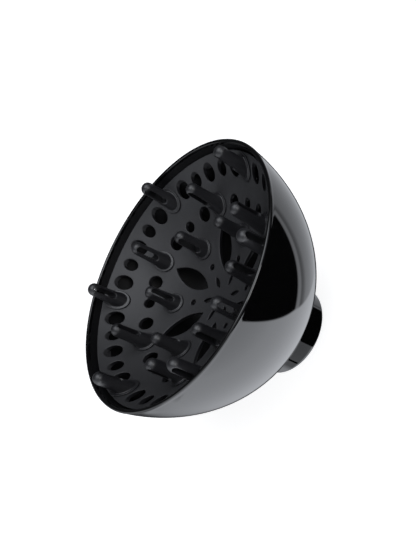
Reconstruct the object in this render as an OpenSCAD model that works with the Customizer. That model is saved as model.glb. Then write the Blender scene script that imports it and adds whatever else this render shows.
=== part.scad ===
// Dryer diffuser: a moulded bowl with a collar for the dryer's nozzle, a perforated
// dish that snaps into its mouth, and soft slotted fingers that plug into the dish.
// It stands on the end of its collar: +Z runs out of the mouth, and the origin is
// the centre of the collar's end. Millimetres.

/* [Bowl] */
// The bowl's outside is half of an egg-shaped curve. Radius of its widest ring
bowl_r = 80; // [76:0.5:90]
// Height of that curve, from its widest ring down to its tip inside the collar
bowl_h = 92; // [86:0.5:98]
// How far the rim lies below the widest ring, so that the wall still opens at the rim
rim_short = 8.4; // [7:0.1:10]
// How far the rim's bead stands out on each side of the wall
rim_proud = 0.12; // [0.05:0.01:0.3]
// Wall of the bowl
bowl_wall = 2.2; // [1.8:0.1:2.8]
// Depth of the seat for the dish below the rim
ledge_depth = 10.5; // [10:0.1:11.5]
// Width of the flat seat for the dish
ledge_w = 1.35; // [1:0.05:1.8]
// Thickness of the seat
ledge_t = 1.6; // [1.2:0.1:2.4]

/* [Collar] */
// Wall of the collar
collar_wall = 2.2; // [1.8:0.1:3]
// How far the collar stands out of the bowl
collar_len = 16.2; // [15.5:0.1:24]
// Rounding between the collar and the bowl
collar_fillet = 1.4; // [0.5:0.1:3]
// Number of slots through the collar's wall
collar_slots = 3; // [2:1:6]
// Width of a slot through the collar's wall
collar_slot_w = 1.3; // [0.8:0.1:2]
// Length of a slot, along the collar
collar_slot_len = 9.5; // [6:0.1:10]
// Height of a slot's lower end above the collar's end
collar_slot_up = 2.2; // [2:0.1:3]
// Rounding of the collar's end, outside
end_round = 1.3; // [0.4:0.1:1.6]
// Width of the inward lip at the collar's end, which stops the sleeve
end_lip_w = 0.9; // [0.5:0.1:1.4]
// Thickness of that lip
end_lip_t = 1.4; // [1:0.1:2]

/* [Grip sleeve] */
// Radius that the grip ribs leave for the dryer's nozzle
nozzle_r = 21.5; // [20:0.1:26]
// Height of a grip rib above the sleeve's bore
rib_h = 1.85; // [1.2:0.05:2.2]
// Wall of the rubber sleeve inside the collar
sleeve_wall = 1.6; // [1.2:0.1:2]
// Number of grip ribs
rib_count = 3; // [2:1:4]
// Width of a rib's crest along the nozzle
rib_crest = 1.2; // [0.8:0.1:1.6]
// How far the sleeve's flange reaches out over its seat in the bowl
sleeve_flange_w = 4; // [3:0.1:5]
// Thickness of that flange
sleeve_flange_t = 1.4; // [1:0.1:2]

/* [Dish] */
// Thickness of the dish
plate_t = 2; // [1.6:0.1:2.4]
// Depth of the dish's edge below the rim
plate_edge_depth = 6; // [5.5:0.1:6.7]
// Depth of the dish's centre below the rim
plate_centre_depth = 39.6; // [36:0.1:42]
// Width of a snap hook round the edge
hook_w = 8; // [5:0.5:12]
// Thickness of a hook's arm
hook_t = 1.25; // [1:0.05:1.4]
// How far a hook's barb reaches under the seat
hook_barb = 0.75; // [0.5:0.05:0.9]
// Thickness of the barb's edge
barb_edge = 0.5; // [0.4:0.1:0.8]
// Height of the barb, with the slope that lets it snap in
barb_h = 2; // [1.2:0.1:3]

/* [Air holes] */
// Diameter of the holes next to an outer finger
outer_hole_end_d = 9.1; // [6:0.1:9.4]
// Diameter of the small holes between those and the middle one
outer_hole_side_d = 7.2; // [5:0.1:8]
// Diameter of the hole half way between two outer fingers
outer_hole_mid_d = 8.5; // [5:0.1:8.8]
// Diameter of the holes next to a middle finger
middle_hole_end_d = 8.1; // [5:0.1:8.8]
// Diameter of the hole half way between two middle fingers
middle_hole_mid_d = 6.1; // [4:0.1:8]
// Distance from the axis to the small round holes
dot_r = 23.5; // [22:0.5:25.5]
// Diameter of the small round holes
dot_d = 3.6; // [2.5:0.1:5]
// Distance from the axis to the inner point of a leaf-shaped slot
leaf_in = 15.8; // [14:0.1:17]
// Length of a leaf-shaped slot
leaf_len = 28.5; // [24:0.1:29.5]
// Width of a leaf-shaped slot
leaf_w = 10.9; // [8:0.1:12.6]
// Distance from the axis to the inner point of a petal-shaped slot
petal_in = 7.4; // [6.5:0.1:8.5]
// Length of a petal-shaped slot
petal_len = 8.3; // [6:0.1:9.3]
// Width of a petal-shaped slot
petal_w = 2.9; // [2:0.1:4]

/* [Fingers] */
// Distance from the dish's edge to the outer ring of fingers
outer_ring_inset = 6.8; // [6.6:0.1:8]
// Distance from the outer ring of fingers to the middle ring
middle_ring_step = 16.3; // [15:0.1:17]
// Distance from the middle ring of fingers to the inner ring
inner_ring_step = 16; // [15:0.1:17]
// Height of the outer fingers' tips above the rim
outer_tip = 9; // [6:0.1:12]
// Height of the middle fingers' tips above the rim, negative below it
middle_tip = -0.5; // [-3:0.1:4]
// Height of the inner fingers' tips above the rim, negative below it
inner_tip = -11.5; // [-13:0.1:-7]
// Width of a fingertip, round the ring
tip_w = 7.8; // [6.5:0.1:9]
// Thickness of a fingertip, towards the axis
tip_t = 7.2; // [5.5:0.1:7.7]
// Width of a finger where it meets its foot
base_d = 10.8; // [9.6:0.1:11.6]
// Diameter of a finger's round foot
foot_d = 12.6; // [12:0.1:13]
// Thickness of the foot's flange on the dish
foot_t = 0.9; // [0.6:0.1:1.4]
// Width of the slot through a finger
slot_w = 3.4; // [2.4:0.1:4]
// Length of the slot through a finger
slot_len = 15.3; // [9:0.1:16]
// Solid tip left above the slot
slot_roof = 2.1; // [1.5:0.1:3]
// Diameter of the stem through the dish
stem_d = 5; // [4:0.1:5.6]
// How far the plug's head is wider than the stem, each side
head_grip = 0.9; // [0.6:0.1:1]
// Height of the head's straight part
head_h = 1.4; // [1:0.1:2]
// Height of the head's tapered end
head_taper = 1.6; // [1:0.1:2.4]
// Wall of the boss that a finger plugs into
boss_wall = 1.6; // [1.2:0.1:1.8]
// How far a boss stands out behind the dish, on its shorter side
boss_proud = 0.6; // [0.4:0.1:1.2]

/* [Clearances] */
// Gap round the dish's edge
plate_gap = 0.25; // [0.15:0.05:0.5]
// Gap round the rubber sleeve
sleeve_gap = 0.15; // [0.1:0.05:0.3]
// Gap between a finger and the dish
finger_gap = 0.12; // [0.08:0.02:0.2]
// Gap between a hook and the seat
hook_gap = 0.2; // [0.1:0.05:0.4]

/* [Hidden] */
$fn = 96;
folds = 6;                                    // the pattern repeats six times round the axis
step = 360 / folds;
past = 1;                                     // how far a cut runs past the solid that it cuts
bite = 0.03;                                  // how far a rounding cuts into the faces it joins

// The collar is sized from the nozzle outwards
sleeve_bore_r = nozzle_r + rib_h;
sleeve_r = sleeve_bore_r + sleeve_wall;
duct_r = sleeve_r + sleeve_gap;
collar_r = duct_r + collar_wall;
sleeve_flange_r = duct_r + sleeve_flange_w;

centre_z = collar_len + bowl_h * egg(collar_r / bowl_r);
rim_z = centre_z - rim_short;
bead_r = bowl_wall / 2 + rim_proud;
bead_z = rim_z - bead_r;
ledge_z = rim_z - ledge_depth;
ledge_wall_r = bowl_at(ledge_z, -bowl_wall);
ledge_in_r = ledge_wall_r - ledge_w;
hook_arm_r = ledge_in_r - hook_gap;

plate_r = ledge_wall_r - plate_gap;
plate_rise = plate_centre_depth - plate_edge_depth;
dish_r = (pow(plate_r, 2) + pow(plate_rise, 2)) / (2 * plate_rise);
dish_centre_z = rim_z - plate_centre_depth + dish_r;

seat_z = bowl_z(sleeve_flange_r + sleeve_gap, -bowl_wall);

outer_r = plate_r - outer_ring_inset;
middle_r = outer_r - middle_ring_step;
inner_ring_r = middle_r - inner_ring_step;
RING_NAMES = ["inner", "middle", "outer"];
RING_R = [inner_ring_r, middle_r, outer_r];
RING_TURN = [0, step / 2, 0];
RING_TIP = [rim_z + inner_tip, rim_z + middle_tip, rim_z + outer_tip];

foot_r = foot_d / 2;
base_r = base_d / 2;
stem_r = stem_d / 2;
bore_r = stem_r + finger_gap;
boss_r = bore_r + boss_wall;
head_r = stem_r + head_grip;

function finger_name(ring, k) = str("finger_", RING_NAMES[ring], "_", k);
// Half the chord of a circle of radius r, at distance d from its centre
function sphere_reach(r, d) = sqrt(pow(r, 2) - pow(d, 2));
function egg(share) = sphere_reach(1, share);
// Radius of the bowl's curve at height z, and its height at radius r. A curve that lies
// further out by a given distance has both half axes longer by it.
function bowl_at(z, out = 0) = (bowl_r + out) * egg((z - centre_z) / (bowl_h + out));
function bowl_z(r, out = 0) = centre_z - (bowl_h + out) * egg(r / (bowl_r + out));
// Height of the dish's top face, and of its underside, at distance r from the axis
function dish_top(r) = dish_centre_z - sphere_reach(dish_r, r);
function dish_under(r) = dish_centre_z - sphere_reach(dish_r + plate_t, r);
// Flat lower end of the bosses of one ring, just clear of the dish on its low side
function boss_z(ring) = dish_under(RING_R[ring] - boss_r) - boss_proud;
// Radius of the arc that leaves a vertical line and moves out by w over a height h
function flare_r(w, h) = (pow(w, 2) + pow(h, 2)) / (2 * w);

// ---- bowl and collar, one glossy moulding

module bowl_shell() {
    color([0.045, 0.045, 0.05])
    difference() {
        rotate_extrude($fn = 180) {
            difference() {
                union() {
                    bowl_outline();
                    collar_outline();
                }
                bowl_hollow();
                duct_hollow();
            }
            rim_bead();
            plate_ledge();
            sleeve_seat();
        }
        for (i = [0:collar_slots - 1]) rotate([0, 0, i * 360 / collar_slots]) collar_slot();
    }
}

// The bowl's curve, or one that lies further out by a given distance
module bowl_curve(out = 0) {
    translate([0, centre_z]) scale([1, (bowl_h + out) / (bowl_r + out)]) circle(r = bowl_r + out);
}

module bowl_outline() {
    intersection() {
        bowl_curve();
        square([bowl_r + past, bead_z]);
    }
    collar_fillet_outline();
}

module bowl_hollow() {
    intersection() {
        bowl_curve(-bowl_wall);
        square([bowl_r, rim_z + past]);
    }
}

// The rim is a round bead, a little wider than the wall
module rim_bead() {
    translate([bowl_at(bead_z, -bowl_wall / 2), bead_z]) circle(r = bead_r, $fn = 12);
}

// Ring inside the wall that carries the dish
module plate_ledge() {
    intersection() {
        bowl_curve(-bowl_wall / 2);
        translate([ledge_in_r, ledge_z - ledge_t]) square([bowl_r, ledge_t]);
    }
}

// Collar with a rounded end and an inward lip
module collar_outline() {
    top = bowl_z(collar_r, -bowl_wall);
    translate([0, end_round]) square([collar_r, top - end_round]);
    square([collar_r - end_round, top]);
    translate([collar_r - end_round, end_round]) circle(r = end_round, $fn = 32);
}

// Fills the corner between the collar and the bowl with an arc
module collar_fillet_outline() {
    arc_x = collar_r + collar_fillet;
    arc_z = bowl_z(arc_x, collar_fillet);
    touch_x = arc_x * bowl_r / (bowl_r + collar_fillet);
    touch_z = centre_z - (centre_z - arc_z) * bowl_h / (bowl_h + collar_fillet);
    difference() {
        polygon([[collar_r - past, arc_z], [arc_x, arc_z], [touch_x, touch_z],
                 [collar_r - past, arc_z + 2 * collar_fillet]]);
        translate([arc_x, arc_z]) circle(r = collar_fillet + bite, $fn = 48);
    }
}

module duct_hollow() {
    translate([0, end_lip_t]) square([duct_r, centre_z - end_lip_t]);
    translate([0, -past]) square([duct_r - end_lip_w, centre_z]);
}

// Slot with round ends through the collar's wall, which shows the sleeve
module collar_slot() {
    half = collar_slot_w / 2;
    low = collar_slot_up + half;
    high = collar_slot_up + collar_slot_len - half;
    for (z = [low, high])
        translate([duct_r - past, 0, z]) rotate([0, 90, 0]) cylinder(r = half, h = collar_r, $fn = 24);
    translate([duct_r - past, -half, low]) cube([collar_r, collar_slot_w, high - low]);
}

// Flat ring inside the bowl, round the duct, for the sleeve's flange
module sleeve_seat() {
    intersection() {
        bowl_curve(-bowl_wall / 2);
        translate([duct_r, 0]) square([bowl_r, seat_z]);
    }
}

// ---- rubber sleeve inside the collar, with ribs that grip the nozzle

module grip_sleeve() {
    foot_z = end_lip_t + sleeve_gap;
    top_z = seat_z + sleeve_gap + sleeve_flange_t;
    color([0.10, 0.10, 0.10])
    rotate_extrude($fn = 120) {
        translate([sleeve_bore_r, foot_z]) square([sleeve_wall, top_z - foot_z]);
        translate([sleeve_bore_r, seat_z + sleeve_gap])
            square([sleeve_flange_r - sleeve_bore_r, sleeve_flange_t]);
        for (i = [0:rib_count - 1])
            translate([sleeve_bore_r, rib_z(i)]) grip_rib();
    }
}

// Height of the middle of rib i: the ribs share the sleeve's length evenly
function rib_z(i) =
    let (first = end_lip_t + sleeve_gap + rib_h + rib_crest / 2,
         last = seat_z - rib_h - rib_crest / 2)
    first + i * (last - first) / (rib_count - 1);

module grip_rib() {
    base = rib_crest / 2 + rib_h;
    root = sleeve_wall / 2;
    polygon([[root, -base], [root, base], [0, base],
             [-rib_h, rib_crest / 2], [-rib_h, -rib_crest / 2], [0, -base]]);
}

// ---- perforated dish that the fingers plug into

module finger_plate() {
    color([0.19, 0.19, 0.20])
    difference() {
        union() {
            rotate_extrude($fn = 180) plate_outline();
            for (ring = [0:2], k = [1:folds]) at_finger(ring, k) boss(ring);
            for (k = [0:folds - 1]) rotate([0, 0, (k + 0.5) * step]) snap_hook();
        }
        translate([0, 0, dish_centre_z]) sphere(r = dish_r, $fn = 180);
        for (ring = [0:2], k = [1:folds])
            at_finger(ring, k)
                translate([0, 0, boss_z(ring) - past]) cylinder(r = bore_r, h = rim_z, $fn = 36);
        for (k = [0:folds - 1]) rotate([0, 0, k * step]) air_holes();
    }
}

// Half section: the dish, and a flat foot at its edge that stands on the seat. The
// foot starts half way through the hooks' arms, which hang down from it.
module plate_outline() {
    flat_r = hook_arm_r - hook_t / 2;
    difference() {
        intersection() {
            union() {
                translate([0, dish_centre_z]) circle(r = dish_r + plate_t);
                translate([flat_r, 0]) square([plate_r, rim_z]);
            }
            square([plate_r, rim_z - plate_edge_depth]);
        }
        translate([0, dish_centre_z]) circle(r = dish_r);
        translate([flat_r, -past]) square([plate_r, ledge_z + past]);
    }
}

module boss(ring) {
    top = dish_top(RING_R[ring] + boss_r);
    translate([0, 0, boss_z(ring)]) cylinder(r = boss_r, h = top - boss_z(ring), $fn = 48);
}

// Arm below the dish's edge with a barb that catches under the seat
module snap_hook() {
    catch_z = ledge_z - ledge_t - hook_gap;
    root_z = dish_top(hook_arm_r - hook_t) - plate_t / 2;
    angle = hook_w / ledge_in_r * 180 / PI;
    rotate([0, 0, -angle / 2])
    rotate_extrude(angle = angle, $fn = 180)
        polygon([[hook_arm_r - hook_t, root_z], [hook_arm_r, root_z], [hook_arm_r, catch_z],
                 [hook_arm_r + hook_barb, catch_z], [hook_arm_r + hook_barb, catch_z - barb_edge],
                 [hook_arm_r, catch_z - barb_h], [hook_arm_r - hook_t, catch_z - barb_h]]);
}

// One sixth of the perforation, seen from the mouth: it starts at an inner finger
module air_holes() {
    outer_d = [outer_hole_end_d, outer_hole_side_d, outer_hole_mid_d, outer_hole_side_d, outer_hole_end_d];
    middle_d = [middle_hole_end_d, middle_hole_mid_d, middle_hole_end_d];
    for (i = [0:4]) rotate([0, 0, (i + 1) * step / 6]) air_hole(outer_r, outer_d[i]);
    for (i = [0:2]) rotate([0, 0, step / 2 + (i + 1) * step / 4]) air_hole(middle_r, middle_d[i]);
    air_hole(dot_r, dot_d);
    rotate([0, 0, step / 2]) leaf_slot(leaf_in, leaf_len, leaf_w);
    leaf_slot(petal_in, petal_len, petal_w);
}

module air_hole(r, d) {
    translate([r, 0, 0]) cylinder(d = d, h = rim_z, $fn = 40);
}

// Slot with two points, where two equal arcs cross
module leaf_slot(from, len, width) {
    arc_r = flare_r(width / 2, len / 2);
    linear_extrude(height = rim_z)
    intersection_for (side = [-1, 1])
        translate([from + len / 2, side * (arc_r - width / 2)]) circle(r = arc_r, $fn = 120);
}

// ---- soft fingers

module at_finger(ring, k) {
    rotate([0, 0, RING_TURN[ring] + (k - 1) * step]) translate([RING_R[ring], 0, 0]) children();
}

module finger(ring, k) {
    color([0.10, 0.10, 0.11]) at_finger(ring, k) {
        difference() {
            finger_body(ring);
            finger_slot(ring);
        }
        foot_flange(ring);
        plug(ring);
    }
}

// Round seen from the axis, flattened seen from the side, and cut off by the dish
module finger_body(ring) {
    intersection() {
        inside_dish(ring, finger_gap);
        rotate_extrude($fn = 48) finger_outline(ring, tip_w / 2);
        rotate([90, 0, 0]) linear_extrude(height = foot_d + past, center = true) {
            finger_outline(ring, tip_t / 2);
            mirror([1, 0]) finger_outline(ring, tip_t / 2);
        }
    }
}

// The ball that the dish's top face is part of, seen from a finger of one ring
module inside_dish(ring, gap) {
    translate([-RING_R[ring], 0, dish_centre_z]) sphere(r = dish_r - gap, $fn = 180);
}

// Half outline: a round tip, then one long arc that widens down to the foot
module finger_outline(ring, half) {
    low = dish_top(RING_R[ring] - foot_r);
    shoulder = RING_TIP[ring] - half;
    arc_r = flare_r(base_r - half, shoulder - low);
    difference() {
        translate([0, low]) square([base_r, shoulder - low]);
        translate([half + arc_r, shoulder]) circle(r = arc_r, $fn = 240);
    }
    intersection() {
        translate([0, shoulder]) circle(r = half, $fn = 48);
        translate([0, shoulder - past]) square([half, half + past]);
    }
}

// Round flange that lies on the dish
module foot_flange(ring) {
    low = dish_top(RING_R[ring] - foot_r);
    difference() {
        intersection() {
            inside_dish(ring, finger_gap);
            translate([0, 0, low]) cylinder(r = foot_r, h = RING_TIP[ring] - low, $fn = 48);
        }
        inside_dish(ring, finger_gap + foot_t);
    }
}

// Stem through the boss, with a head that snaps out behind it
module plug(ring) {
    head_z = boss_z(ring) - finger_gap;
    top = dish_top(RING_R[ring] + stem_r) + foot_t;
    translate([0, 0, head_z - head_h]) cylinder(r = stem_r, h = top - head_z + head_h, $fn = 36);
    translate([0, 0, head_z - head_h]) cylinder(r = head_r, h = head_h, $fn = 36);
    translate([0, 0, head_z - head_h - head_taper])
        cylinder(r1 = stem_r - head_grip, r2 = head_r, h = head_taper, $fn = 36);
}

// Slot with round ends, right through the finger towards the axis
module finger_slot(ring) {
    top = RING_TIP[ring] - slot_roof - slot_w / 2;
    for (z = [top, top - slot_len + slot_w])
        translate([0, 0, z]) rotate([0, 90, 0]) cylinder(d = slot_w, h = 2 * foot_d, center = true, $fn = 32);
    translate([-foot_d, -slot_w / 2, top - slot_len + slot_w]) cube([2 * foot_d, slot_w, slot_len - slot_w]);
}

bowl_shell();
grip_sleeve();
finger_plate();
for (ring = [0:2], k = [1:folds])
    finger(ring, k);
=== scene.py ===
import math

import bmesh
import bpy
import numpy as np
from mathutils import Matrix, Vector
from mathutils.bvhtree import BVHTree
from mathutils.geometry import delaunay_2d_cdt


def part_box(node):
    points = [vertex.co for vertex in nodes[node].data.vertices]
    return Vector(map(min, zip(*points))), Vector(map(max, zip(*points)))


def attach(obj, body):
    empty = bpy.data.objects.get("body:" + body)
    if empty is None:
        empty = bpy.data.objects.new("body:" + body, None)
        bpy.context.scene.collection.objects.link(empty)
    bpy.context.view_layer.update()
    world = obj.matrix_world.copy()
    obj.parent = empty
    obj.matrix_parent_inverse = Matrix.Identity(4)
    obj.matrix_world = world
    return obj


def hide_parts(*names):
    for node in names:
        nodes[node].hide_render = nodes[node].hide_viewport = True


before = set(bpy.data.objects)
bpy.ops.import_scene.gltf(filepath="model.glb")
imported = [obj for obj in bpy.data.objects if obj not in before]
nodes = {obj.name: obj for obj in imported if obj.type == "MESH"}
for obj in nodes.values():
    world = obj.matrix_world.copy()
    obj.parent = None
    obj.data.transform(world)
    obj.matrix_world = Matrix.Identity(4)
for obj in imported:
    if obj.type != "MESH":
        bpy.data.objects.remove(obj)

scene = bpy.context.scene
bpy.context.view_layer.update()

# ---- Camera
# The photograph's own viewpoint: from in front and above, rolled so that the mouth faces
# the upper left. Metres, in the frame of the part, which stands on its collar.
IMAGE_W, IMAGE_H = 416, 554
IMAGE_LONG = max(IMAGE_W, IMAGE_H)
camera_place = Vector((0.026107, -0.359284, 0.292104))
camera_aim = Vector((0.005760, 0.014949, 0.060))
camera_roll = math.radians(-63.313)
camera_lens = 49.308
camera_sensor = 36.0

camera_back = (camera_place - camera_aim).normalized()
level_right = Vector((0, 0, 1)).cross(camera_back).normalized()
level_up = camera_back.cross(level_right)
camera_right = level_right * math.cos(camera_roll) + level_up * math.sin(camera_roll)
camera_up = camera_back.cross(camera_right)
camera_data = bpy.data.cameras.new("camera")
camera_data.lens = camera_lens
camera_data.sensor_width = camera_sensor
camera_data.sensor_fit = "AUTO"
camera_data.clip_start = 0.01
camera = bpy.data.objects.new("camera", camera_data)
scene.collection.objects.link(camera)
camera.matrix_world = Matrix((
    (camera_right.x, camera_up.x, camera_back.x, camera_place.x),
    (camera_right.y, camera_up.y, camera_back.y, camera_place.y),
    (camera_right.z, camera_up.z, camera_back.z, camera_place.z),
    (0, 0, 0, 1)))
scene.camera = camera

# ---- Bowl and collar
# One black moulding in glossy plastic, polished outside and finely textured inside. Its
# wall is half of an egg-shaped curve. A bead runs round its rim, a ring inside carries the
# dish, and three slots in the collar show the rubber sleeve.
rim_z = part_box("bowl_shell")[1].z
bowl_r = 0.080
bowl_h = 0.092
bowl_wall = 0.0022
rim_short = 0.0084
widest_z = rim_z + rim_short
bead_r = 0.00122
ledge_depth = 0.0105
ledge_z = rim_z - ledge_depth
ledge_t = 0.0016
ledge_w = 0.00135
collar_r = 0.0273
duct_r = 0.0251
collar_end_round = 0.0013
collar_fillet = 0.0014
end_lip_w = 0.0009
end_lip_t = 0.0014
sleeve_seat_z = 0.019466
slot_low, slot_high = 0.0022, 0.0117
slot_w = 0.0013
mould_edge = 0.0003
SLOTS = 3


def arc(cx, cz, r, start, end, steps):
    """Points on a circle in the half section, angles in degrees from the outward direction."""
    return [(cx + r * math.cos(math.radians(a)), cz + r * math.sin(math.radians(a)))
            for a in np.linspace(start, end, steps + 1)]


def softened(points, r, steps=4):
    """The same open line with each corner of more than 20 degrees rounded to radius r."""
    out = [Vector(points[0])]
    for before, corner, after in zip(points, points[1:], points[2:]):
        before, corner, after = Vector(before), Vector(corner), Vector(after)
        to_a, to_b = before - corner, after - corner
        turn = math.pi - to_a.angle(to_b)
        if turn < math.radians(20):
            out.append(corner)
            continue
        cut = min(r * math.tan(turn / 2), 0.45 * to_a.length, 0.45 * to_b.length)
        start, end = corner + to_a.normalized() * cut, corner + to_b.normalized() * cut
        for i in range(steps + 1):
            t = i / steps
            out.append((1 - t) ** 2 * start + 2 * t * (1 - t) * corner + t * t * end)
    out.append(Vector(points[-1]))
    return out


def profile_object(name, points, inside=()):
    """A closed half section as a mesh of edges, r along X. Its last point meets the first."""
    mesh = bpy.data.meshes.new(name)
    count = len(points)
    edges = [(i, (i + 1) % count) for i in range(count)]
    mesh.from_pydata([(p[0], 0, p[1]) for p in points], edges, [])
    mark = mesh.attributes.new("inside", "FLOAT", "POINT")
    mark.data.foreach_set("value", [1.0 if i in inside else 0.0 for i in range(count)])
    obj = bpy.data.objects.new(name, mesh)
    scene.collection.objects.link(obj)
    return obj


def math_node(tree, operation, a, b=None):
    node = tree.nodes.new("ShaderNodeMath")
    node.operation = operation
    for socket, value in zip(node.inputs, (a, b)):
        if isinstance(value, (int, float)):
            socket.default_value = value
        elif value is not None:
            tree.links.new(value, socket)
    return node.outputs[0]


def new_tree(name, inputs):
    """A Geometry Nodes tree with named inputs: (name, socket type, value)."""
    tree = bpy.data.node_groups.new(name, "GeometryNodeTree")
    tree.interface.new_socket("Geometry", in_out="INPUT", socket_type="NodeSocketGeometry")
    for label, kind, value in inputs:
        socket = tree.interface.new_socket(label, in_out="INPUT", socket_type=kind)
        if value is not None:
            socket.default_value = value
    tree.interface.new_socket("Geometry", in_out="OUTPUT", socket_type="NodeSocketGeometry")
    return tree, tree.nodes.new("NodeGroupInput"), tree.nodes.new("NodeGroupOutput")


def as_seen(obj):
    """A plain mesh of an object with its modifiers applied."""
    graph = bpy.context.evaluated_depsgraph_get()
    return bpy.data.meshes.new_from_object(obj.evaluated_get(graph))


def run_tree(obj, tree, values):
    """Runs a tree on an object and keeps the result as a plain mesh."""
    modifier = obj.modifiers.new(tree.name, "NODES")
    modifier.node_group = tree
    for item in tree.interface.items_tree:
        if item.item_type == "SOCKET" and item.in_out == "INPUT" and item.name in values:
            modifier[item.identifier] = values[item.name]
    obj.update_tag()
    bpy.context.view_layer.update()
    mesh = as_seen(obj)
    obj.modifiers.remove(modifier)
    while mesh.materials and mesh.materials[0] is None:
        mesh.materials.pop(index=0)
    old, obj.data = obj.data, mesh
    bpy.data.meshes.remove(old)
    mesh.name = obj.name
    return obj


def turned_tree():
    """Turns a half section round the Z axis: a grid whose rows are copies of the section."""
    tree, start, end = new_tree("Turned piece", [
        ("Steps", "NodeSocketInt", 240),
        ("Outside", "NodeSocketMaterial", None),
        ("Inside", "NodeSocketMaterial", None)])
    link, make = tree.links.new, tree.nodes.new
    size = make("GeometryNodeAttributeDomainSize")
    link(start.outputs["Geometry"], size.inputs["Geometry"])
    points = size.outputs["Point Count"]
    grid = make("GeometryNodeMeshGrid")
    link(math_node(tree, "ADD", start.outputs["Steps"], 1), grid.inputs["Vertices X"])
    link(math_node(tree, "ADD", points, 1), grid.inputs["Vertices Y"])
    index = make("GeometryNodeInputIndex").outputs[0]
    column = math_node(tree, "ADD", points, 1)
    centred = math_node(tree, "ADD", index, 0.5)
    turn = math_node(tree, "FLOOR", math_node(tree, "DIVIDE", centred, column))
    along = math_node(tree, "SUBTRACT", index, math_node(tree, "MULTIPLY", turn, column))
    row = math_node(tree, "ROUND", math_node(tree, "MODULO", along, points))
    angle = math_node(tree, "MULTIPLY", turn, 2 * math.pi)
    angle = math_node(tree, "DIVIDE", angle, start.outputs["Steps"])
    place = make("GeometryNodeInputPosition")
    section = make("GeometryNodeSampleIndex")
    section.data_type, section.domain = "FLOAT_VECTOR", "POINT"
    link(start.outputs["Geometry"], section.inputs["Geometry"])
    link(place.outputs[0], section.inputs["Value"])
    link(row, section.inputs["Index"])
    split = make("ShaderNodeSeparateXYZ")
    link(section.outputs[0], split.inputs[0])
    joined = make("ShaderNodeCombineXYZ")
    for axis, share in (("X", "COSINE"), ("Y", "SINE")):
        part = math_node(tree, "MULTIPLY", split.outputs["X"], math_node(tree, share, angle))
        link(part, joined.inputs[axis])
    link(split.outputs["Z"], joined.inputs["Z"])
    marks = make("GeometryNodeInputNamedAttribute")
    marks.data_type = "FLOAT"
    marks.inputs["Name"].default_value = "inside"
    mark = make("GeometryNodeSampleIndex")
    mark.data_type, mark.domain = "FLOAT", "POINT"
    link(start.outputs["Geometry"], mark.inputs["Geometry"])
    link(marks.outputs["Attribute"], mark.inputs["Value"])
    link(row, mark.inputs["Index"])
    stored = make("GeometryNodeStoreNamedAttribute")
    stored.data_type, stored.domain = "FLOAT", "POINT"
    stored.inputs["Name"].default_value = "inside"
    link(grid.outputs["Mesh"], stored.inputs["Geometry"])
    link(mark.outputs[0], stored.inputs["Value"])
    moved = make("GeometryNodeSetPosition")
    link(stored.outputs["Geometry"], moved.inputs["Geometry"])
    link(joined.outputs[0], moved.inputs["Position"])
    merged = make("GeometryNodeMergeByDistance")
    merged.inputs["Distance"].default_value = 1e-6
    link(moved.outputs["Geometry"], merged.inputs["Geometry"])
    smooth = make("GeometryNodeSetShadeSmooth")
    link(merged.outputs["Geometry"], smooth.inputs["Geometry"])
    whole = make("GeometryNodeRealizeInstances")
    link(smooth.outputs["Geometry"], whole.inputs["Geometry"])
    outer = make("GeometryNodeSetMaterial")
    link(whole.outputs["Geometry"], outer.inputs["Geometry"])
    link(start.outputs["Outside"], outer.inputs["Material"])
    again = make("GeometryNodeInputNamedAttribute")
    again.data_type = "FLOAT"
    again.inputs["Name"].default_value = "inside"
    inner = make("GeometryNodeSetMaterial")
    link(outer.outputs["Geometry"], inner.inputs["Geometry"])
    within = math_node(tree, "GREATER_THAN", again.outputs["Attribute"], 0.6)
    link(within, inner.inputs["Selection"])
    link(start.outputs["Inside"], inner.inputs["Material"])
    link(inner.outputs["Geometry"], end.inputs["Geometry"])
    return tree


def face_out(mesh):
    """Turns every face of a closed mesh outwards."""
    shell = bmesh.new()
    shell.from_mesh(mesh)
    bmesh.ops.recalc_face_normals(shell, faces=shell.faces)
    shell.to_mesh(mesh)
    shell.free()


def texture_place(tree):
    return tree.nodes.new("ShaderNodeTexCoord").outputs["Object"]


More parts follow.
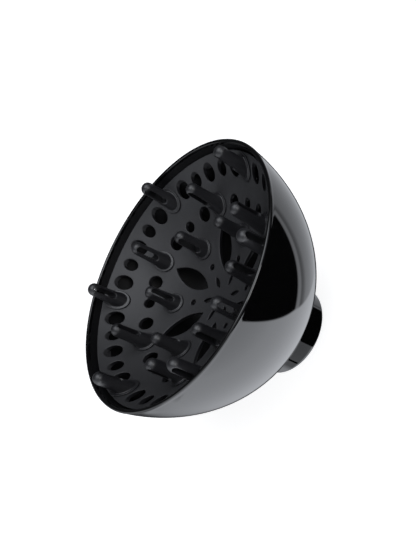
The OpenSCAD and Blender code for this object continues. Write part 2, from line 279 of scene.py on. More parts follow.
def mould_surface_group():
    """Unevenness of a moulded surface: fine grain, slow waves, and light patches of handling."""
    group = bpy.data.node_groups.new("Moulded surface", "ShaderNodeTree")
    for label, kind, value in (("Place", "NodeSocketVector", None),
                               ("Colour", "NodeSocketColor", (0.05, 0.05, 0.05, 1)),
                               ("Grain per metre", "NodeSocketFloat", 2500.0),
                               ("Roughness", "NodeSocketFloat", 0.5),
                               ("Roughness spread", "NodeSocketFloat", 0.05),
                               ("Colour spread", "NodeSocketFloat", 0.1)):
        socket = group.interface.new_socket(label, in_out="INPUT", socket_type=kind)
        if value is not None:
            socket.default_value = value
    for label, kind in (("Colour", "NodeSocketColor"), ("Roughness", "NodeSocketFloat"),
                        ("Height", "NodeSocketFloat")):
        group.interface.new_socket(label, in_out="OUTPUT", socket_type=kind)
    start, end = group.nodes.new("NodeGroupInput"), group.nodes.new("NodeGroupOutput")
    grain = group.nodes.new("ShaderNodeTexNoise")
    grain.inputs["Detail"].default_value = 3.0
    grain.inputs["Roughness"].default_value = 0.6
    group.links.new(start.outputs["Place"], grain.inputs["Vector"])
    group.links.new(start.outputs["Grain per metre"], grain.inputs["Scale"])
    patches = group.nodes.new("ShaderNodeTexNoise")
    patches.inputs["Scale"].default_value = 55.0
    patches.inputs["Detail"].default_value = 4.0
    group.links.new(start.outputs["Place"], patches.inputs["Vector"])
    centred = math_node(group, "SUBTRACT", patches.outputs["Fac"], 0.5)
    rough = math_node(group, "ADD", start.outputs["Roughness"],
                      math_node(group, "MULTIPLY", centred, start.outputs["Roughness spread"]))
    tone = math_node(group, "ADD", 1.0,
                     math_node(group, "MULTIPLY", centred, start.outputs["Colour spread"]))
    shade = group.nodes.new("ShaderNodeVectorMath")
    shade.operation = "SCALE"
    group.links.new(start.outputs["Colour"], shade.inputs[0])
    group.links.new(tone, shade.inputs["Scale"])
    group.links.new(shade.outputs[0], end.inputs["Colour"])
    group.links.new(rough, end.inputs["Roughness"])
    group.links.new(grain.outputs["Fac"], end.inputs["Height"])
    return group


mould_surface = mould_surface_group()


def moulded_material(name, colour, rough, grain_size, grain_depth,
                     rough_spread=0.08, colour_spread=0.15):
    """A Principled material whose colour, roughness and bump come from the moulded surface."""
    material = bpy.data.materials.new(name)
    material.use_nodes = True
    tree = material.node_tree
    shader = tree.nodes["Principled BSDF"]
    surface = tree.nodes.new("ShaderNodeGroup")
    surface.node_tree = mould_surface
    surface.inputs["Colour"].default_value = (*colour, 1)
    surface.inputs["Grain per metre"].default_value = 1 / grain_size
    surface.inputs["Roughness"].default_value = rough
    surface.inputs["Roughness spread"].default_value = rough_spread
    surface.inputs["Colour spread"].default_value = colour_spread
    tree.links.new(texture_place(tree), surface.inputs["Place"])
    tree.links.new(surface.outputs["Colour"], shader.inputs["Base Color"])
    tree.links.new(surface.outputs["Roughness"], shader.inputs["Roughness"])
    bump = tree.nodes.new("ShaderNodeBump")
    bump.inputs["Strength"].default_value = 1.0
    bump.inputs["Distance"].default_value = grain_depth
    tree.links.new(surface.outputs["Height"], bump.inputs["Height"])
    tree.links.new(bump.outputs["Normal"], shader.inputs["Normal"])
    return material, shader


bowl_gloss, bowl_shader = moulded_material(
    "bowl_gloss", (0.0015, 0.0015, 0.0017), 0.04, 0.004, 0.0000012, 0.02, 0.1)
bowl_shader.inputs["IOR"].default_value = 1.58
bowl_inside, inside_shader = moulded_material(
    "bowl_inside", (0.0035, 0.0035, 0.004), 0.45, 0.0005, 0.000015)
inside_shader.inputs["Specular IOR Level"].default_value = 0.25


def egg(turn, out=0.0):
    """A point on the bowl's curve, or on one further out, at degrees below the widest ring."""
    a = math.radians(turn)
    return (bowl_r + out) * math.cos(a), widest_z - (bowl_h + out) * math.sin(a)


def egg_turn(r, out=0.0):
    return math.degrees(math.acos(r / (bowl_r + out)))


def egg_r(z, out=0.0):
    return (bowl_r + out) * math.sqrt(1 - ((widest_z - z) / (bowl_h + out)) ** 2)


bead_z = rim_z - bead_r
bead_x = egg_r(bead_z, -bowl_wall / 2)
ledge_wall_r = egg_r(ledge_z, -bowl_wall)
ledge_in_r = ledge_wall_r - ledge_w
fillet_x = collar_r + collar_fillet
fillet_z = egg(egg_turn(fillet_x, collar_fillet), collar_fillet)[1]
touch = egg(egg_turn(fillet_x, collar_fillet))
touch_angle = math.degrees(math.atan2(touch[1] - fillet_z, touch[0] - fillet_x))
outside = [(duct_r - end_lip_w, 0.0006), (duct_r - end_lip_w + 0.0003, 0)]
outside += arc(collar_r - collar_end_round, collar_end_round, collar_end_round, -90, 0, 8)
outside += [(collar_r, z) for z in np.linspace(slot_low, slot_high, 6)]
outside += arc(fillet_x, fillet_z, collar_fillet, 180, touch_angle, 8)
side_low, side_high = egg_turn(touch[0]) - 0.7, egg_turn(egg_r(bead_z - 0.0009))
outside += [egg(a) for a in np.linspace(side_low, side_high, 90)]
outside += arc(bead_x, bead_z, bead_r, -22, 158, 12)
inside_line = [(egg_r(bead_z - 0.001, -bowl_wall), bead_z - 0.001),
               (egg_r(ledge_z + 0.002, -bowl_wall), ledge_z + 0.002),
               (ledge_wall_r, ledge_z), (ledge_in_r, ledge_z), (ledge_in_r, ledge_z - ledge_t),
               (egg_r(ledge_z - ledge_t, -bowl_wall), ledge_z - ledge_t),
               (egg_r(ledge_z - 0.004, -bowl_wall), ledge_z - 0.004)]
inside_line = softened(inside_line, mould_edge)
seat_x = egg_r(sleeve_seat_z, -bowl_wall)
wall_high = egg_turn(egg_r(ledge_z - 0.006, -bowl_wall), -bowl_wall)
wall_low = egg_turn(seat_x + 0.0006, -bowl_wall)
inside_line += [Vector(egg(a, -bowl_wall)) for a in np.linspace(wall_high, wall_low, 60)]
inside_line += softened([(seat_x + 0.0003, sleeve_seat_z + 0.0002), (seat_x, sleeve_seat_z),
                         (duct_r, sleeve_seat_z), (duct_r, end_lip_t),
                         (duct_r - end_lip_w, end_lip_t), (duct_r - end_lip_w, 0.0009)], mould_edge)
bowl_points = [tuple(p) for p in outside] + [tuple(p) for p in inside_line]
bowl_piece = profile_object("bowl", bowl_points, inside=range(len(outside), len(bowl_points)))
turned = turned_tree()
run_tree(bowl_piece, turned, {"Steps": 288, "Outside": bowl_gloss, "Inside": bowl_inside})
face_out(bowl_piece.data)

slot_outline = (arc(0, slot_high - slot_w / 2, slot_w / 2, 0, 180, 12)
                + arc(0, slot_low + slot_w / 2, slot_w / 2, 180, 360, 12))
slot_points, slot_faces, n = [], [], len(slot_outline)
for k in range(SLOTS):
    turn = Matrix.Rotation(2 * math.pi * k / SLOTS, 3, "Z")
    first = len(slot_points)
    for x in (duct_r - 0.001, collar_r + 0.001):
        slot_points += [turn @ Vector((x, y, z)) for y, z in slot_outline]
    slot_faces += [(first + i, first + (i + 1) % n, first + n + (i + 1) % n, first + n + i)
                   for i in range(n)]
    slot_faces += [tuple(range(first, first + n)), tuple(range(first + n, first + 2 * n))]
slot_mesh = bpy.data.meshes.new("slot_cutter")
slot_mesh.from_pydata(slot_points, [], slot_faces)
face_out(slot_mesh)
slot_cutter = bpy.data.objects.new("slot_cutter", slot_mesh)
scene.collection.objects.link(slot_cutter)
cut = bowl_piece.modifiers.new("collar slots", "BOOLEAN")
cut.object, cut.operation, cut.solver = slot_cutter, "DIFFERENCE", "EXACT"
bpy.context.view_layer.update()
cut_mesh = as_seen(bowl_piece)
bowl_piece.modifiers.clear()
bowl_piece.data = cut_mesh
bpy.data.objects.remove(slot_cutter)
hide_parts("bowl_shell")
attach(bowl_piece, "root")

# ---- Rubber sleeve
# A soft lining in the collar with three ribs that grip the dryer's nozzle. A flange
# inside the bowl and the collar's end lip hold it.
sleeve_low, sleeve_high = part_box("grip_sleeve")
sleeve_out_r = 0.02495
sleeve_bore_r = 0.02335
sleeve_flange_r = 0.0291
sleeve_flange_t = 0.0014
nozzle_r = 0.0215
rib_half_crest = 0.0006
rib_heights = (0.01702, 0.01051, 0.0040)
sleeve_rubber, _ = moulded_material("sleeve_rubber", (0.02, 0.02, 0.021), 0.62, 0.0003, 0.00002)
rib_rise = sleeve_bore_r - nozzle_r
sleeve_line = [(sleeve_out_r, sleeve_low.z), (sleeve_out_r, sleeve_high.z - sleeve_flange_t),
               (sleeve_flange_r, sleeve_high.z - sleeve_flange_t), (sleeve_flange_r, sleeve_high.z),
               (sleeve_bore_r, sleeve_high.z)]
for rib_z in rib_heights:
    sleeve_line += [(sleeve_bore_r, rib_z + rib_half_crest + rib_rise),
                    (nozzle_r, rib_z + rib_half_crest),
                    (nozzle_r, rib_z - rib_half_crest),
                    (sleeve_bore_r, max(sleeve_low.z, rib_z - rib_half_crest - rib_rise))]
sleeve_line += [(sleeve_out_r - 0.0001, sleeve_low.z)]
sleeve_points = [tuple(p) for p in softened(sleeve_line, mould_edge)][:-1]
sleeve_piece = profile_object("grip_sleeve_rubber", sleeve_points)
run_tree(sleeve_piece, turned, {"Steps": 192, "Outside": sleeve_rubber, "Inside": sleeve_rubber})
face_out(sleeve_piece.data)
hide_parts("grip_sleeve")
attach(sleeve_piece, "root")

# ---- Dish
# A perforated dish in matt charcoal plastic, moulded with a boss behind each finger. It
# stands on the ring inside the bowl. Mesh code makes it, so that every hole has the
# rounded edge of a moulding and the whole is one closed skin.
dish_r = 0.102317
dish_centre_z = 0.156995
dish_t = 0.002
dish_edge_r = 0.075807
dish_foot_r = ledge_in_r - 0.0002
hole_round_top = 0.0004
hole_round_under = 0.0002
bore_r = 0.00262
bore_round = 0.00015
boss_r = 0.00422
boss_round = 0.0003
grid_step = 0.0019
FOLDS = 6
# Each ring of fingers: its radius, the turn of its first finger, and where its bosses end.
RINGS = {"inner": (0.036707, 0, 0.057265), "middle": (0.052707, 30, 0.064031),
         "outer": (0.069007, 0, 0.074635)}
outer_holes = (0.0091, 0.0072, 0.0085, 0.0072, 0.0091)
middle_holes = (0.0081, 0.0061, 0.0081)
small_hole_x, small_hole_r = 0.0235, 0.0018
leaf_start, leaf_length, leaf_width = 0.0158, 0.0285, 0.0109
petal_start, petal_length, petal_width = 0.0074, 0.0083, 0.0029
edge_steps = 288
upright_below = 0.55


def dish_top(xy):
    return dish_centre_z - np.sqrt(dish_r ** 2 - (xy ** 2).sum(1))


def dish_under(xy):
    return dish_centre_z - np.sqrt((dish_r + dish_t) ** 2 - (xy ** 2).sum(1))


def round_loop(x, r, turn, steps=40):
    """A circle at distance x from the axis, counter-clockwise."""
    a = np.arange(steps) * 2 * math.pi / steps
    c = np.array([math.cos(turn), math.sin(turn)]) * x
    return c + r * np.stack([np.cos(a), np.sin(a)], 1)


def leaf_loop(start, length, width, turn, steps=22, tip_round=0.0003):
    """Two equal arcs that meet in points, with the points a little rounded."""
    r = (width ** 2 + length ** 2) / (4 * width)
    half = math.asin(length / 2 / r)
    side = [(start + length / 2 + r * math.sin(a), r * math.cos(a) - (r - width / 2))
            for a in np.linspace(half, -half, steps)]
    outline = side + [(x, -y) for x, y in reversed(side[1:-1])]
    tips = softened([outline[-1]] + outline + [outline[0]], tip_round, 6)[1:-1]
    xy = np.array([tuple(p) for p in tips])
    c, s = math.cos(turn), math.sin(turn)
    return xy @ np.array([[c, s], [-s, c]])


def outset(loop, d):
    """The loop with each side moved outwards by d."""
    along = np.roll(loop, -1, 0) - loop
    normal = np.stack([along[:, 1], -along[:, 0]], 1) / np.linalg.norm(along, axis=1)[:, None]
    before = np.roll(normal, 1, 0)
    return loop + d * (normal + before) / (1 + (normal * before).sum(1))[:, None]


air_loops, bore_loops = [], []
for fold in range(FOLDS):
    base = fold * 2 * math.pi / FOLDS
    for i, d in enumerate(outer_holes):
        turn = base + math.radians(10 * (i + 1))
        air_loops.append(round_loop(RINGS["outer"][0], d / 2, turn))
    for i, d in enumerate(middle_holes):
        turn = base + math.radians(30 + 15 * (i + 1))
        air_loops.append(round_loop(RINGS["middle"][0], d / 2, turn))
    air_loops.append(round_loop(small_hole_x, small_hole_r, base, 28))
    air_loops.append(leaf_loop(leaf_start, leaf_length, leaf_width, base + math.radians(30)))
    air_loops.append(leaf_loop(petal_start, petal_length, petal_width, base, 12, 0.0002))
    for x, turn, boss_z in RINGS.values():
        bore_loops.append((round_loop(x, bore_r, base + math.radians(turn), 32), boss_z))


class Skin:
    """Points and faces of the dish, kept as they are added."""

    def __init__(self):
        self.points, self.faces, self.count = [], [], 0

    def add(self, xy, z):
        first = self.count
        self.points.append(np.column_stack([xy, np.broadcast_to(z, len(xy))]))
        self.count += len(xy)
        return list(range(first, self.count))

    def strip(self, upper, lower):
        n = len(upper)
        for k in range(n):
            m = (k + 1) % n
            self.faces.append((upper[k], upper[m], lower[m], lower[k]))

    def sheet(self, edge, holes, height):
        """Fills the space between a round edge and the holes, and lifts it onto the dish."""
        loops = [edge] + holes
        r = np.linalg.norm(edge[0])
        rows = np.arange(-r, r + grid_step, grid_step * math.sqrt(3) / 2)
        grid = np.array([(x + (grid_step / 2 if j % 2 else 0), y)
                         for j, y in enumerate(rows)
                         for x in np.arange(-r, r + grid_step, grid_step)])
        grid = grid[np.linalg.norm(grid, axis=1) < r - 0.6 * grid_step]
        keep = np.ones(len(grid), bool)
        for hole in holes:
            middle = hole.mean(0)
            reach = np.linalg.norm(hole - middle, axis=1).max() + grid_step
            near = np.flatnonzero((np.linalg.norm(grid - middle, axis=1) < reach) & keep)
            if not len(near):
                continue
            gaps = np.linalg.norm(grid[near][:, None] - hole[None], axis=2).min(1)
            ahead = np.roll(hole, -1, 0) - hole
            off = grid[near][:, None] - hole[None]
            turns = ahead[None, :, 0] * off[:, :, 1] - ahead[None, :, 1] * off[:, :, 0]
            within = (turns >= 0).all(1)
            keep[near[within | (gaps < 0.5 * grid_step)]] = False
        grid = grid[keep]
        ids = [self.add(loop, height(loop)) for loop in loops]
        everything = np.concatenate(loops + [grid])
        index = sum(ids, []) + self.add(grid, height(grid))
        owner = np.concatenate([np.full(len(loop), i) for i, loop in enumerate(loops)]
                               + [np.full(len(grid), -1)])
        sides, start = [], 0
        for loop in loops:
            sides += [(start + k, start + (k + 1) % len(loop)) for k in range(len(loop))]
            start += len(loop)
        flat = delaunay_2d_cdt([Vector(p) for p in everything], sides, [], 0, 1e-9)
        triangles, origin = flat[2], [o[0] for o in flat[3]]
        for t in triangles:
            a, b, c = (origin[i] for i in t)
            if not (owner[a] == owner[b] == owner[c] > 0):
                self.faces.append((index[a], index[b], index[c]))
        return ids


def rounding(r, steps=3):
    """(outset, drop) pairs from a flat face into a straight wall."""
    return [(r * (1 - math.sin(a)), r * (1 - math.cos(a)))
            for a in np.linspace(0, math.pi / 2, steps + 1)]


skin = Skin()
rim_loop = round_loop(0, dish_edge_r, 0, edge_steps)
foot_loop = round_loop(0, dish_foot_r, 0, edge_steps)
edge_round = 0.0004
top_ids = skin.sheet(outset(rim_loop, -edge_round), [outset(p, hole_round_top) for p in air_loops]
                     + [outset(p, bore_round) for p, _ in bore_loops], dish_top)
under_ids = skin.sheet(foot_loop, [outset(p, hole_round_under) for p in air_loops]
                       + [outset(p, boss_r - bore_r + boss_round) for p, _ in bore_loops],
                       dish_under)
for loop, top, under in zip(air_loops, top_ids[1:], under_ids[1:]):
    last = top
    for d, drop in rounding(hole_round_top)[1:]:
        ring = outset(loop, d)
        last, above = skin.add(ring, dish_top(ring) - drop), last
        skin.strip(above, last)
    for d, drop in reversed(rounding(hole_round_under)[1:]):
        ring = outset(loop, d)
        last, above = skin.add(ring, dish_under(ring) + drop), last
        skin.strip(above, last)
    skin.strip(last, under)
first_bore = 1 + len(air_loops)
for (loop, boss_z), top, under in zip(bore_loops, top_ids[first_bore:], under_ids[first_bore:]):
    last = top
    wide = boss_r - bore_r
    for d, z in ((0, dish_top(loop) - bore_round), (0, boss_z + bore_round), (bore_round, boss_z),
                 (wide - boss_round, boss_z), (wide - boss_round * 0.3, boss_z + boss_round * 0.3),
                 (wide, boss_z + boss_round), (wide, dish_under(outset(loop, wide)) - boss_round),
                 (wide + 0.3 * boss_round, dish_under(outset(loop, wide)) - 0.3 * boss_round)):
        ring = outset(loop, d)
        last, above = skin.add(ring, z), last
        skin.strip(above, last)
    skin.strip(last, under)
last = top_ids[0]
for d, z in ((-0.3 * edge_round, dish_top(rim_loop) - 0.3 * edge_round),
             (0, dish_top(rim_loop) - edge_round),
             (0, ledge_z + edge_round), (-edge_round, ledge_z)):
    ring = outset(rim_loop, d)
    last, above = skin.add(ring, z), last
    skin.strip(above, last)
foot = skin.add(foot_loop, ledge_z)
skin.strip(last, foot)
skin.strip(foot, under_ids[0])

dish_mesh = bpy.data.meshes.new("dish")
dish_mesh.from_pydata(np.concatenate(skin.points).tolist(), [], skin.faces)
dish_mesh.shade_smooth()
dish_piece = bpy.data.objects.new("dish", dish_mesh)
scene.collection.objects.link(dish_piece)
face_out(dish_mesh)
dish_matt, _ = moulded_material(
    "dish_matt", (0.0313, 0.0315, 0.0334), 0.50, 0.00035, 0.00003)
dish_mesh.materials.append(dish_matt)
# The pins that shape the holes are polished, so the walls they leave are smooth; their darker colour is painted
# shade, standing in for the shade inside the holes.
hole_walls_painted_shade, _ = moulded_material(
    "hole_walls_painted_shade", (0.012, 0.012, 0.0135), 0.34, 0.00035, 0.000005)
dish_mesh.materials.append(hole_walls_painted_shade)
facing, middles = (np.zeros(3 * len(dish_mesh.polygons)) for _ in range(2))
dish_mesh.polygons.foreach_get("normal", facing)
dish_mesh.polygons.foreach_get("center", middles)
upward = np.array([0, 0, dish_centre_z]) - middles.reshape(-1, 3)
upward /= np.linalg.norm(upward, axis=1)[:, None]
# Faces that stand upright to the dish take the darker colour of painted shade.
painted_shade_faces = np.abs((facing.reshape(-1, 3) * upward).sum(1)) < upright_below
dish_mesh.polygons.foreach_set("material_index", painted_shade_faces.astype(np.int32))


def even_shading(obj):
    """Keeps broad faces evenly shaded next to their narrow rounded edges."""
    weighted = obj.modifiers.new("even shading", "WEIGHTED_NORMAL")
    weighted.weight = 80
    weighted.keep_sharp = True


for obj in (bowl_piece, sleeve_piece, dish_piece):
    even_shading(obj)
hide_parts("finger_plate")
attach(dish_piece, "root")

# ---- Snap hooks
# Six springy arms moulded under the dish's edge. Their barbs catch below the ring in the
# bowl, so the dish presses in without screws.
hook_gap = 0.0002
hook_out_r = ledge_in_r - hook_gap
hook_t = 0.00125
hook_barb = 0.00075
hook_w = 0.008
hook_catch_z = ledge_z - ledge_t - hook_gap


def ring_tree():
    """Copies of one piece round the Z axis."""
    tree, start, end = new_tree("Ring of copies", [
        ("Count", "NodeSocketInt", 6),
        ("First turn", "NodeSocketFloat", 0.0),
        ("Material", "NodeSocketMaterial", None)])
    link, make = tree.links.new, tree.nodes.new
    points = make("GeometryNodePoints")
    link(start.outputs["Count"], points.inputs["Count"])
    index = make("GeometryNodeInputIndex").outputs[0]
    step = math_node(tree, "DIVIDE", 2 * math.pi, start.outputs["Count"])
    turn = make("ShaderNodeCombineXYZ")
    steps = math_node(tree, "MULTIPLY", index, step)
    link(math_node(tree, "ADD", steps, start.outputs["First turn"]), turn.inputs["Z"])
    copies = make("GeometryNodeInstanceOnPoints")
    link(points.outputs[0], copies.inputs["Points"])
    link(start.outputs["Geometry"], copies.inputs["Instance"])
    link(turn.outputs[0], copies.inputs["Rotation"])
    whole = make("GeometryNodeRealizeInstances")
    link(copies.outputs[0], whole.inputs["Geometry"])
    finish = make("GeometryNodeSetMaterial")
    link(whole.outputs[0], finish.inputs["Geometry"])
    link(start.outputs["Material"], finish.inputs["Material"])
    link(finish.outputs[0], end.inputs["Geometry"])
    return tree


ring_of_copies = ring_tree()
hook_root_z = float(dish_top(np.array([[hook_out_r - hook_t, 0]]))[0]) - 0.0008
hook_line = softened([(hook_out_r - hook_t, hook_root_z),
                      (hook_out_r - hook_t, hook_catch_z - 0.002),
                      (hook_out_r, hook_catch_z - 0.002),
                      (hook_out_r + hook_barb, hook_catch_z - 0.0005),
                      (hook_out_r + hook_barb, hook_catch_z), (hook_out_r, hook_catch_z),
                      (hook_out_r, hook_root_z)], 0.0002)
hook_half = hook_w / ledge_in_r / 2
hook_points, hook_faces, sections = [], [], 9
for i in range(sections):
    a = -hook_half + 2 * hook_half * i / (sections - 1)
    hook_points += [(p[0] * math.cos(a), p[0] * math.sin(a), p[1]) for p in hook_line]
size = len(hook_line)
for i in range(sections - 1):
    hook_faces += [(i * size + k, i * size + (k + 1) % size,
                    (i + 1) * size + (k + 1) % size, (i + 1) * size + k) for k in range(size)]
hook_faces += [tuple(range(size)), tuple(range((sections - 1) * size, sections * size))]
hook_mesh = bpy.data.meshes.new("snap_hooks")
hook_mesh.from_pydata(hook_points, [], hook_faces)
hooks = bpy.data.objects.new("snap_hooks", hook_mesh)
scene.collection.objects.link(hooks)
face_out(hook_mesh)
run_tree(hooks, ring_of_copies,
         {"Count": FOLDS, "First turn": math.radians(30), "Material": dish_matt})
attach(hooks, "root")

# ---- Fingers
# Soft slotted fingers in three rings, each moulded in a satin elastomer with a round foot
# on the dish and a plug that snaps through it. Their edges are rounded by the mould.
finger_soft, finger_shader = moulded_material(
    "finger_soft", (0.0115, 0.0115, 0.0135), 0.42, 0.0004, 0.00001, 0.1, 0.25)
finger_shader.inputs["Specular IOR Level"].default_value = 0.8
finger_voxel = 0.00024
finger_pieces = {}
for ring in RINGS:
    first = nodes["finger_%s_1" % ring]
    finger = bpy.data.objects.new("fingers_" + ring, first.data.copy())
    scene.collection.objects.link(finger)
    shell = bmesh.new()
    shell.from_mesh(finger.data)
    bmesh.ops.remove_doubles(shell, verts=shell.verts, dist=1e-6)
    shell.to_mesh(finger.data)
    shell.free()
    finger.data.materials.clear()
    even = finger.modifiers.new("even mesh", "REMESH")
    even.mode, even.voxel_size, even.use_smooth_shade = "VOXEL", finger_voxel, True
    soft = finger.modifiers.new("soft edges", "SMOOTH")
    soft.factor, soft.iterations = 0.5, 7
    fewer = finger.modifiers.new("fewer faces", "DECIMATE")
    fewer.ratio = 0.35
    bpy.context.view_layer.update()
    mesh = as_seen(finger)
    finger.modifiers.clear()
    finger.data = mesh
    mesh.shade_smooth()
    run_tree(finger, ring_of_copies, {"Count": FOLDS, "First turn": 0.0, "Material": finger_soft})
    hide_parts(*["finger_%s_%d" % (ring, k) for k in range(1, FOLDS + 1)])
    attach(finger, "root")
    finger_pieces[ring] = finger

# ---- Floor, backdrop and light
# A plain white table under one soft lamp. The world is the studio round it, and lights
# polished and matt faces alike: a pale wall, a pale sheet, and the dark flag in front.
floor_half = 4.0
floor_glow = 0.8
studio_level = 0.8
lamp_size, lamp_power = 0.4, 1.7
floor_mesh = bpy.data.meshes.new("floor")
floor_mesh.from_pydata([(x * floor_half, y * floor_half, 0)
                        for x, y in ((-1, -1), (1, -1), (1, 1), (-1, 1))], [], [(0, 1, 2, 3)])
floor = bpy.data.objects.new("floor", floor_mesh)
scene.collection.objects.link(floor)
# The polished bowl mirrors the studio below it as well, so the floor is not in its way.
floor.visible_glossy = False
floor_white = bpy.data.materials.new("floor_white")
floor_white.use_nodes = True
tree = floor_white.node_tree
tree.nodes.clear()
rays = tree.nodes.new("ShaderNodeLightPath")
paint = tree.nodes.new("ShaderNodeBsdfDiffuse")
paint.inputs["Color"].default_value = (0.62, 0.62, 0.62, 1)
glow = tree.nodes.new("ShaderNodeEmission")
glowing = math_node(tree, "MULTIPLY", rays.outputs["Is Camera Ray"], floor_glow)
tree.links.new(glowing, glow.inputs["Strength"])
both = tree.nodes.new("ShaderNodeAddShader")
out = tree.nodes.new("ShaderNodeOutputMaterial")
tree.links.new(paint.outputs[0], both.inputs[0])
tree.links.new(glow.outputs[0], both.inputs[1])
tree.links.new(both.outputs[0], out.inputs["Surface"])
floor_mesh.materials.append(floor_white)

world = bpy.data.worlds.new("studio")
scene.world = world
world.use_nodes = True
tree = world.node_tree
tree.nodes.clear()
way = tree.nodes.new("ShaderNodeTexCoord").outputs["Generated"]
parts = tree.nodes.new("ShaderNodeSeparateXYZ")
tree.links.new(way, parts.inputs[0])


def ramp(value, low, high, start=0.0, end=1.0):
    """Goes from start to end while another value goes from low to high."""
    node = tree.nodes.new("ShaderNodeMapRange")
    tree.links.new(value, node.inputs["Value"])
    for label, number in (("From Min", low), ("From Max", high),
                          ("To Min", start), ("To Max", end)):
        node.inputs[label].default_value = number
    return node.outputs[0]


def blend(share, a, b):
    node = tree.nodes.new("ShaderNodeMix")
    node.data_type = "FLOAT"
    for label, value in (("Factor", share), ("A", a), ("B", b)):
        if isinstance(value, (int, float)):
            node.inputs[label].default_value = value
        else:
            tree.links.new(value, node.inputs[label])
    return node.outputs["Result"]


def towards(direction):
    """How nearly a direction is this one: 1 where they are the same."""
    node = tree.nodes.new("ShaderNodeVectorMath")
    node.operation = "DOT_PRODUCT"
    tree.links.new(way, node.inputs[0])
    node.inputs[1].default_value = Vector(direction).normalized()
    return node.outputs["Value"]


# Places in the studio are given as if on a plane below: across is X and along is Y, each
# over the depth. The bands were read from what the bowl mirrors in the photograph.
height = parts.outputs["Z"]
depth = math_node(tree, "MAXIMUM", math_node(tree, "MULTIPLY", height, -1.0), 0.05)
across = math_node(tree, "DIVIDE", parts.outputs["X"], depth)
along = math_node(tree, "DIVIDE", parts.outputs["Y"], depth)
seam = math_node(tree, "SUBTRACT", across, math_node(
    tree, "ADD", math_node(tree, "MULTIPLY", math_node(tree, "MINIMUM", along, 0.0), 0.27),
    math_node(tree, "MULTIPLY", math_node(tree, "MAXIMUM", along, 0.0), 0.14)))
hem = math_node(tree, "SUBTRACT", ramp(height, -0.668, -0.655), ramp(height, -0.63, -0.605))
hem = math_node(tree, "MULTIPLY", hem, ramp(along, -0.1, 0.3, 0.68, 0.0))
corner = math_node(tree, "MULTIPLY", ramp(across, -1.1, -0.95, 0.4, 0.0), ramp(along, 0.7, 1.0))
sheet = math_node(tree, "MULTIPLY", ramp(along, -0.35, 1.2, 3.0, 0.12),
                  math_node(tree, "SUBTRACT", 1.0, hem))
sheet = math_node(tree, "ADD", sheet, corner)
wall = math_node(tree, "SUBTRACT", ramp(along, 0.0, 0.035, 0.006, 1.15),
                 ramp(along, 0.08, 0.12, 0.0, 0.60))
wall = math_node(tree, "ADD", wall, ramp(along, 0.15, 0.24, 0.0, 0.45))
wall = math_node(tree, "MULTIPLY", wall, ramp(along, 1.4, 1.7, 1.0, 0.15))
low_part = blend(ramp(seam, 0.125, 0.145), sheet, wall)
dark_patch = ramp(towards((-0.0462, 0.8490, -0.5265)), 0.92, 0.95, 1.0, 0.0)
low_part = math_node(tree, "MULTIPLY", low_part, dark_patch)
high_part = math_node(tree, "ADD", ramp(parts.outputs["Y"], -0.4, 0.3, 0.4, 0.06),
                      ramp(towards((0.30, -0.20, 0.93)), 0.85, 0.95, 0.0, 2.8))
high_part = math_node(tree, "ADD", high_part, ramp(parts.outputs["X"], -0.85, -0.6, 1.3, 0.0))
studio = blend(ramp(height, -0.1, 0.25), low_part, high_part)
rays = tree.nodes.new("ShaderNodeLightPath")
plain = math_node(tree, "MULTIPLY", studio, studio_level)
sky = tree.nodes.new("ShaderNodeBackground")
tint = tree.nodes.new("ShaderNodeMix")
tint.data_type = "RGBA"
colours = [socket for socket in tint.inputs if socket.type == "RGBA"]
colours[0].default_value, colours[1].default_value = (0.96, 0.99, 1.05, 1), (1, 1, 1, 1)
tree.links.new(rays.outputs["Is Camera Ray"], tint.inputs[0])
tree.links.new([socket for socket in tint.outputs if socket.type == "RGBA"][0], sky.inputs["Color"])
tree.links.new(blend(rays.outputs["Is Camera Ray"], plain, 1.0), sky.inputs["Strength"])
out = tree.nodes.new("ShaderNodeOutputWorld")
tree.links.new(sky.outputs[0], out.inputs["Surface"])


lamp = bpy.data.lights.new("main_lamp", "AREA")
lamp.shape, lamp.energy = "RECTANGLE", lamp_power
lamp.size, lamp.size_y = lamp_size, lamp_size
main_lamp = bpy.data.objects.new("main_lamp", lamp)
scene.collection.objects.link(main_lamp)
lamp_place, lamp_aim = Vector((0.33, -0.80, 0.50)), Vector((0, 0, 0.06))
main_lamp.location = lamp_place
main_lamp.rotation_euler = (lamp_aim - lamp_place).to_track_quat("-Z", "Y").to_euler()

scene.view_settings.view_transform = "Standard"

# ---- Image points
# Where places of the object show in the photograph's frame, and where the finished pieces put them. Edges
# and rims are read from the vertices that show, holes and finger tips at their middles.
image_points = {
    "object left edge": (85.2, None), "object right edge": (321.7, None),
    "object top edge": (None, 138.7), "object bottom edge": (None, 418.4),
    "far rim": (112.5, 246.0), "near rim high": (266.2, 240.0), "near rim low": (246.5, 300.0),
    "dish far edge": (123.8, 246.0), "collar end": (307.3, 356.9), "collar slot": (293.1, 360.7),
    "outer hole at 30": (208.6, 170.7), "outer hole at 110": (123.7, 282.4), "outer hole at 210": (160.2, 400.4),
    "middle hole at 105": (155.6, 281.6), "outer tip at 60": (147.9, 190.0), "outer tip at 120": (94.0, 289.6),
    "outer tip at 180": (99.6, 375.5), "middle tip at 90": (137.2, 247.2), "middle tip at 330": (235.3, 208.1),
    "inner tip at 60": (178.7, 237.2)}
tip_heights = {"inner": 0.082777, "middle": 0.093777, "outer": 0.103277}
tip_middle = 0.003
finger_reach = 0.0055
edge_window, row_windows = 12.0, (0.8, 1.5, 3.0)
hidden_gap = 0.0004
slot_turn = 240
slot_reach = 1e-4
into_camera = np.array(camera.matrix_world.inverted())
photo_scale = IMAGE_LONG * camera_lens / camera_sensor


def shown(places):
    """Where places in metres fall in the photograph's frame."""
    local = places @ into_camera[:3, :3].T + into_camera[:3, 3]
    return np.stack([IMAGE_W / 2 - photo_scale * local[:, 0] / local[:, 2],
                     IMAGE_H / 2 + photo_scale * local[:, 1] / local[:, 2]], 1)


def vertices(obj):
    found = np.zeros(3 * len(obj.data.vertices))
    obj.data.vertices.foreach_get("co", found)
    return found.reshape(-1, 3)


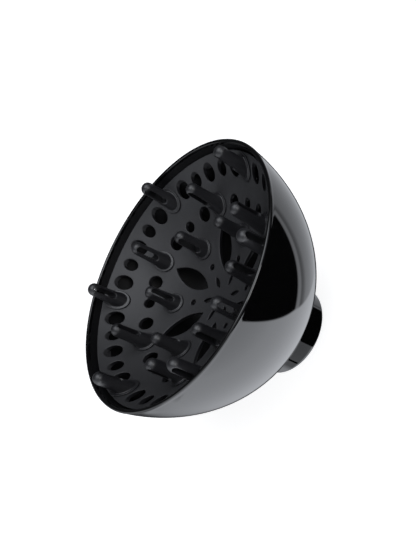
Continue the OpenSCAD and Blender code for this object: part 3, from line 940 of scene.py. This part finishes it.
bpy.context.view_layer.update()
look_graph = bpy.context.evaluated_depsgraph_get()
finished = [bowl_piece, sleeve_piece, dish_piece, hooks] + list(finger_pieces.values())
finished_trees = [BVHTree.FromObject(obj, look_graph) for obj in finished]


def in_view(places):
    """The places that nothing hides from the camera."""
    kept = []
    for place in places:
        way = Vector(place) - camera_place
        reach = way.length - hidden_gap
        if all(tree.ray_cast(camera_place, way, reach)[0] is None for tree in finished_trees):
            kept.append(place)
    return np.array(kept).reshape(-1, 3)


def edge_near(places, point, across, down):
    """The edge of what shows near a point: -1 is its least x or y, 1 its greatest, 0 the middle."""
    near = np.abs(shown(places) - np.array(point)).max(1) < edge_window
    seen = shown(in_view(places[near]))
    pick = {-1: np.min, 0: np.mean, 1: np.max}
    found = []
    for axis, side in ((0, across), (1, down)):
        off_line = np.abs(seen[:, 1 - axis] - point[1 - axis])
        wide = next((w for w in row_windows if (off_line < w).sum() >= 2), None)
        found.append(None if wide is None else float(pick[side](seen[off_line < wide, axis])))
    return tuple(found)


def middle_of(places):
    seen = shown(places)
    return tuple(((seen.min(0) + seen.max(0)) / 2).tolist()) if len(seen) else (None, None)


def round_about(x, turn):
    a = math.radians(turn)
    return x * math.cos(a), x * math.sin(a)


bowl_v, dish_v = vertices(bowl_piece), vertices(dish_piece)
whole = shown(np.concatenate([vertices(obj) for obj in finished]))
bead_v = bowl_v[bowl_v[:, 2] > bead_z]
slot_x, slot_y = round_about(1.0, slot_turn)
slot_v = bowl_v[(np.abs(bowl_v[:, 1] * slot_x - bowl_v[:, 0] * slot_y) < slot_w / 2 + slot_reach)
                & (bowl_v[:, 0] * slot_x + bowl_v[:, 1] * slot_y > collar_r - slot_reach)
                & (bowl_v[:, 2] > slot_low - slot_reach) & (bowl_v[:, 2] < slot_high + slot_reach)]
measured = {
    "object left edge": (float(whole[:, 0].min()), None),
    "object right edge": (float(whole[:, 0].max()), None),
    "object top edge": (None, float(whole[:, 1].min())),
    "object bottom edge": (None, float(whole[:, 1].max())),
    "far rim": edge_near(bead_v, image_points["far rim"], -1, -1),
    "near rim high": edge_near(bead_v, image_points["near rim high"], 0, 0),
    "near rim low": edge_near(bead_v, image_points["near rim low"], 0, 0),
    "dish far edge": edge_near(dish_v, image_points["dish far edge"], -1, -1),
    "collar end": edge_near(bowl_v[bowl_v[:, 2] < collar_end_round],
                            image_points["collar end"], 1, 1),
    "collar slot": middle_of(in_view(slot_v))}
for name in image_points:
    words = name.split()
    if words[1] == "hole":
        place = round_about(RINGS[words[0]][0], int(words[3]))
        loop = min(air_loops, key=lambda p: math.dist(p.mean(0), place))
        ring = outset(loop, hole_round_top)
        measured[name] = middle_of(np.column_stack([ring, dish_top(ring)]))
    elif words[1] == "tip":
        all_v = vertices(finger_pieces[words[0]])
        place = round_about(RINGS[words[0]][0], int(words[3]))
        beside = np.linalg.norm(all_v[:, :2] - place, axis=1) < finger_reach
        upper = all_v[:, 2] > tip_heights[words[0]] - 2 * tip_middle
        measured[name] = middle_of(all_v[beside & upper])
